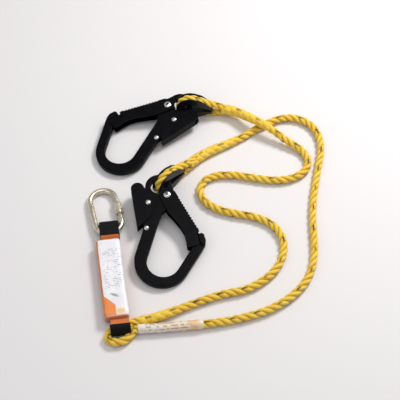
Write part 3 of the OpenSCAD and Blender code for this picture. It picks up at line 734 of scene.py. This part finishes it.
upward_uvs = [p for q in range(0, len(uvs), 4) for p in uvs[q:q + 4][::-1]]
label = make("printed_label", turned(PACK_AT, PACK_TURN, sheet), upward, upward_uvs,
             LABEL, ["pack_label"])
thick_label = label.modifiers.new("thickness", "SOLIDIFY")
thick_label.thickness = LABEL_THICK * MM
thick_label.offset = 1

# Webbing loops
WEB_W, WEB_T, GUARD_T = 32.0, 2.4, 1.2
ARC_POINTS = 19


def pack_point(x, y):
    return turned(PACK_AT, PACK_TURN, [[x, y, WEB_Z]])[0]


def loop_line(ring, fold, flat_from, root=1.35):
    """Middle line of the webbing seen from the side, as (0, out, height)."""
    up = [(-6, root), (0, root + 0.15), (flat_from * 0.5, ring * 0.55 + root * 0.5),
          (flat_from, ring * 0.97), (fold, ring)]
    arc = [(fold + ring * math.cos(a), ring * math.sin(a))
           for a in np.linspace(math.pi / 2, -math.pi / 2, ARC_POINTS)[1:-1]]
    down = [(x, -z) for x, z in up[::-1]]
    return np.array([(0, x, z) for x, z in up + arc + down], float)


def strap(name, at, turn, line, wide, thick, corner, material, node, seed, crimp=0.0):
    """A flat strap swept along a line in its own upright plane, with round edges.
    Crimp is how much its width waves, as a part of it."""
    line = smooth_path(line, 1.2)
    t = np.gradient(line, axis=0)
    t /= np.linalg.norm(t, axis=1)[:, None]
    out = np.cross(np.array([1.0, 0, 0]), t)
    half, h, k = wide / 2, thick / 2, corner
    steps = 26
    top = [(x, h) for x in np.linspace(half - k, -half + k, steps)]
    left = [(-half + k - k * math.sin(a), h - k + k * math.cos(a)) for a in (0.5, 1.0, 1.4)]
    left += [(-half + k - k * math.sin(a), -h + k - k * math.cos(a)) for a in (1.4, 1.0, 0.5)]
    shape = np.array(top + left + [(-x, -z) for x, z in top] + [(-x, -z) for x, z in left])
    run = lengths(line)
    wave = 1 + crimp * np.sin(run / 2.3)[:, None]
    points = (line[:, None, :] + shape[None, :, :1] * wave[..., None] * np.array([1.0, 0, 0])
              + shape[None, :, 1:2] * out[:, None, :])
    points = points + out[:, None, :] * wobble(points, 6.0, 0.22, seed)[..., None]
    across = np.append(shape[:, 0], shape[0, 0]) * MM
    uu = np.tile(across, (len(line), 1))
    vv = np.repeat(run[:, None] * MM, len(shape) + 1, 1)
    faces, uvs = grid(len(line), len(shape), uu, vv)
    make(name, turned(at, turn, points), faces, uvs, material, [node])


UPPER = dict(turn=7.0, ring=5.25 + 0.75 + GUARD_T + 0.1 + WEB_T / 2, fold=29.5, flat=8.0)
LOWER = dict(turn=187.0, ring=ROPE_R + 0.3 + GUARD_T + 0.1 + WEB_T / 2, fold=18.0, flat=15.0)
UPPER["at"] = pack_point(WEB_SHIFT, PACK_L / 2)
LOWER["at"] = pack_point(WEB_SHIFT, -PACK_L / 2)
for word, loop in (("upper", UPPER), ("lower", LOWER)):
    line = loop_line(loop["ring"], loop["fold"], loop["flat"])
    strap(f"{word}_webbing", loop["at"], loop["turn"], line, WEB_W, WEB_T, 0.9,
          ORANGE, f"{word}_loop", 2.0)
    covered = np.array([p for p in line if p[1] >= loop["flat"] - 0.01])
    strap(f"{word}_sleeve", loop["at"], loop["turn"], covered, WEB_W + 3.0,
          WEB_T + 2 * GUARD_T + 0.2, 2.2, GUARD, f"{word}_guard", 7.0, 0.006)

# ---------------------------------------------------------------- metal parts


BEVEL_FROM = 32.0          # edges sharper than this are rounded, in degrees
LONG_EDGE, BIG_FACE, SMALL_FACE = 60.0, 1000.0, 600.0  # what counts as a bend, in mm and mm2


def bent_edges(bm):
    """The long outer edges between two large walls, where the plate was bent."""
    found = []
    for e in bm.edges:
        areas = [f.calc_area() / MM ** 2 for f in e.link_faces]
        if (len(areas) == 2 and e.calc_length() > LONG_EDGE * MM and e.is_convex
                and e.calc_face_angle(0) > math.radians(60)
                and max(areas) > BIG_FACE and min(areas) > SMALL_FACE):
            found.append(e)
    return found


def copy_of(node, name, material, body):
    """A copy of a CAD node that stands for it and rides on its body."""
    piece = bpy.data.objects.new(name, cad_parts[node].data.copy())
    piece.data.name = name
    piece.data.materials.clear()
    piece.data.materials.append(material)
    bpy.context.scene.collection.objects.link(piece)
    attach(piece, body)
    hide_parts(node)
    return piece


def soften(node, name, width, material, body, bend=0.0):
    """A copy of a CAD node with its sharp edges rounded, as pressing or moulding leaves them.
    A bend gives its bent edges a larger radius first."""
    piece = copy_of(node, name, material, body)
    mesh = piece.data
    bm = bmesh.new()
    bm.from_mesh(mesh)
    bmesh.ops.remove_doubles(bm, verts=bm.verts, dist=2e-6)
    bmesh.ops.dissolve_limit(bm, angle_limit=math.radians(0.6), verts=bm.verts, edges=bm.edges)
    if bend:
        bmesh.ops.bevel(bm, geom=bent_edges(bm), offset=bend * MM, segments=4, profile=0.5,
                        affect="EDGES", clamp_overlap=True)
    bm.to_mesh(mesh)
    bm.free()
    mesh.polygons.foreach_set("use_smooth", [True] * len(mesh.polygons))
    bevel = piece.modifiers.new("edges", "BEVEL")
    bevel.width = width * MM
    bevel.segments = 2
    bevel.limit_method = "ANGLE"
    bevel.angle_limit = math.radians(BEVEL_FROM)
    weighted = piece.modifiers.new("normals", "WEIGHTED_NORMAL")
    weighted.keep_sharp = True


def forge(node, name, cell, rounds, material, body):
    """A copy of a CAD node with every edge rounded off, as forging and tumbling leave it:
    rebuilt from cells of an even size in mm, then smoothed for some rounds."""
    piece = copy_of(node, name, material, body)
    remesh = piece.modifiers.new("even", "REMESH")
    remesh.mode = "VOXEL"
    remesh.voxel_size = cell * MM
    remesh.use_smooth_shade = True
    smooth = piece.modifiers.new("round", "SMOOTH")
    smooth.factor = 0.5
    smooth.iterations = rounds


for k in (1, 2):
    forge(f"hook_{k}_frame", f"forged_frame_{k}", 0.95, 4, HOOK, f"hook_{k}")
    soften(f"hook_{k}_gate", f"pressed_gate_{k}", 0.5, HOOK, f"hook_{k}_gate")
    soften(f"hook_{k}_lever", f"pressed_lever_{k}", 0.5, HOOK, f"hook_{k}_lever", bend=1.8)
    soften(f"thimble_{k}", f"moulded_thimble_{k}", 0.45, THIMBLE, "lanyard")


def dress(node, material):
    """Give a CAD node that stays a finished material."""
    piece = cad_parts[node]
    piece.data.materials.clear()
    piece.data.materials.append(material)


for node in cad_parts:
    if "rivet" in node or node == "catch_pin":
        dress(node, RIVET)
    elif node.endswith("spring") or node.endswith("plunger"):
        dress(node, SPRING)
    elif node in ("connector_body", "connector_gate", "screw_sleeve"):
        dress(node, CONNECTOR)

# ---------------------------------------------------------------- floor

REACH = 6.0                # half the floor's side, in metres
FLOOR_Z = -0.0002          # just under the object, so that no face lies in another
floor_mesh = bpy.data.meshes.new("floor")
floor_mesh.from_pydata([(-REACH, -REACH, 0), (REACH, -REACH, 0), (REACH, REACH, 0),
                        (-REACH, REACH, 0)], [], [(0, 1, 2, 3)])
floor = bpy.data.objects.new("floor", floor_mesh)
floor.location = (0, 0, FLOOR_Z)
bpy.context.scene.collection.objects.link(floor)
ground = Graph("floor_pale", Base_Color=(0.79, 0.77, 0.78), Roughness=0.6,
               Specular_IOR_Level=0.3)
floor_mesh.materials.append(ground.mat)
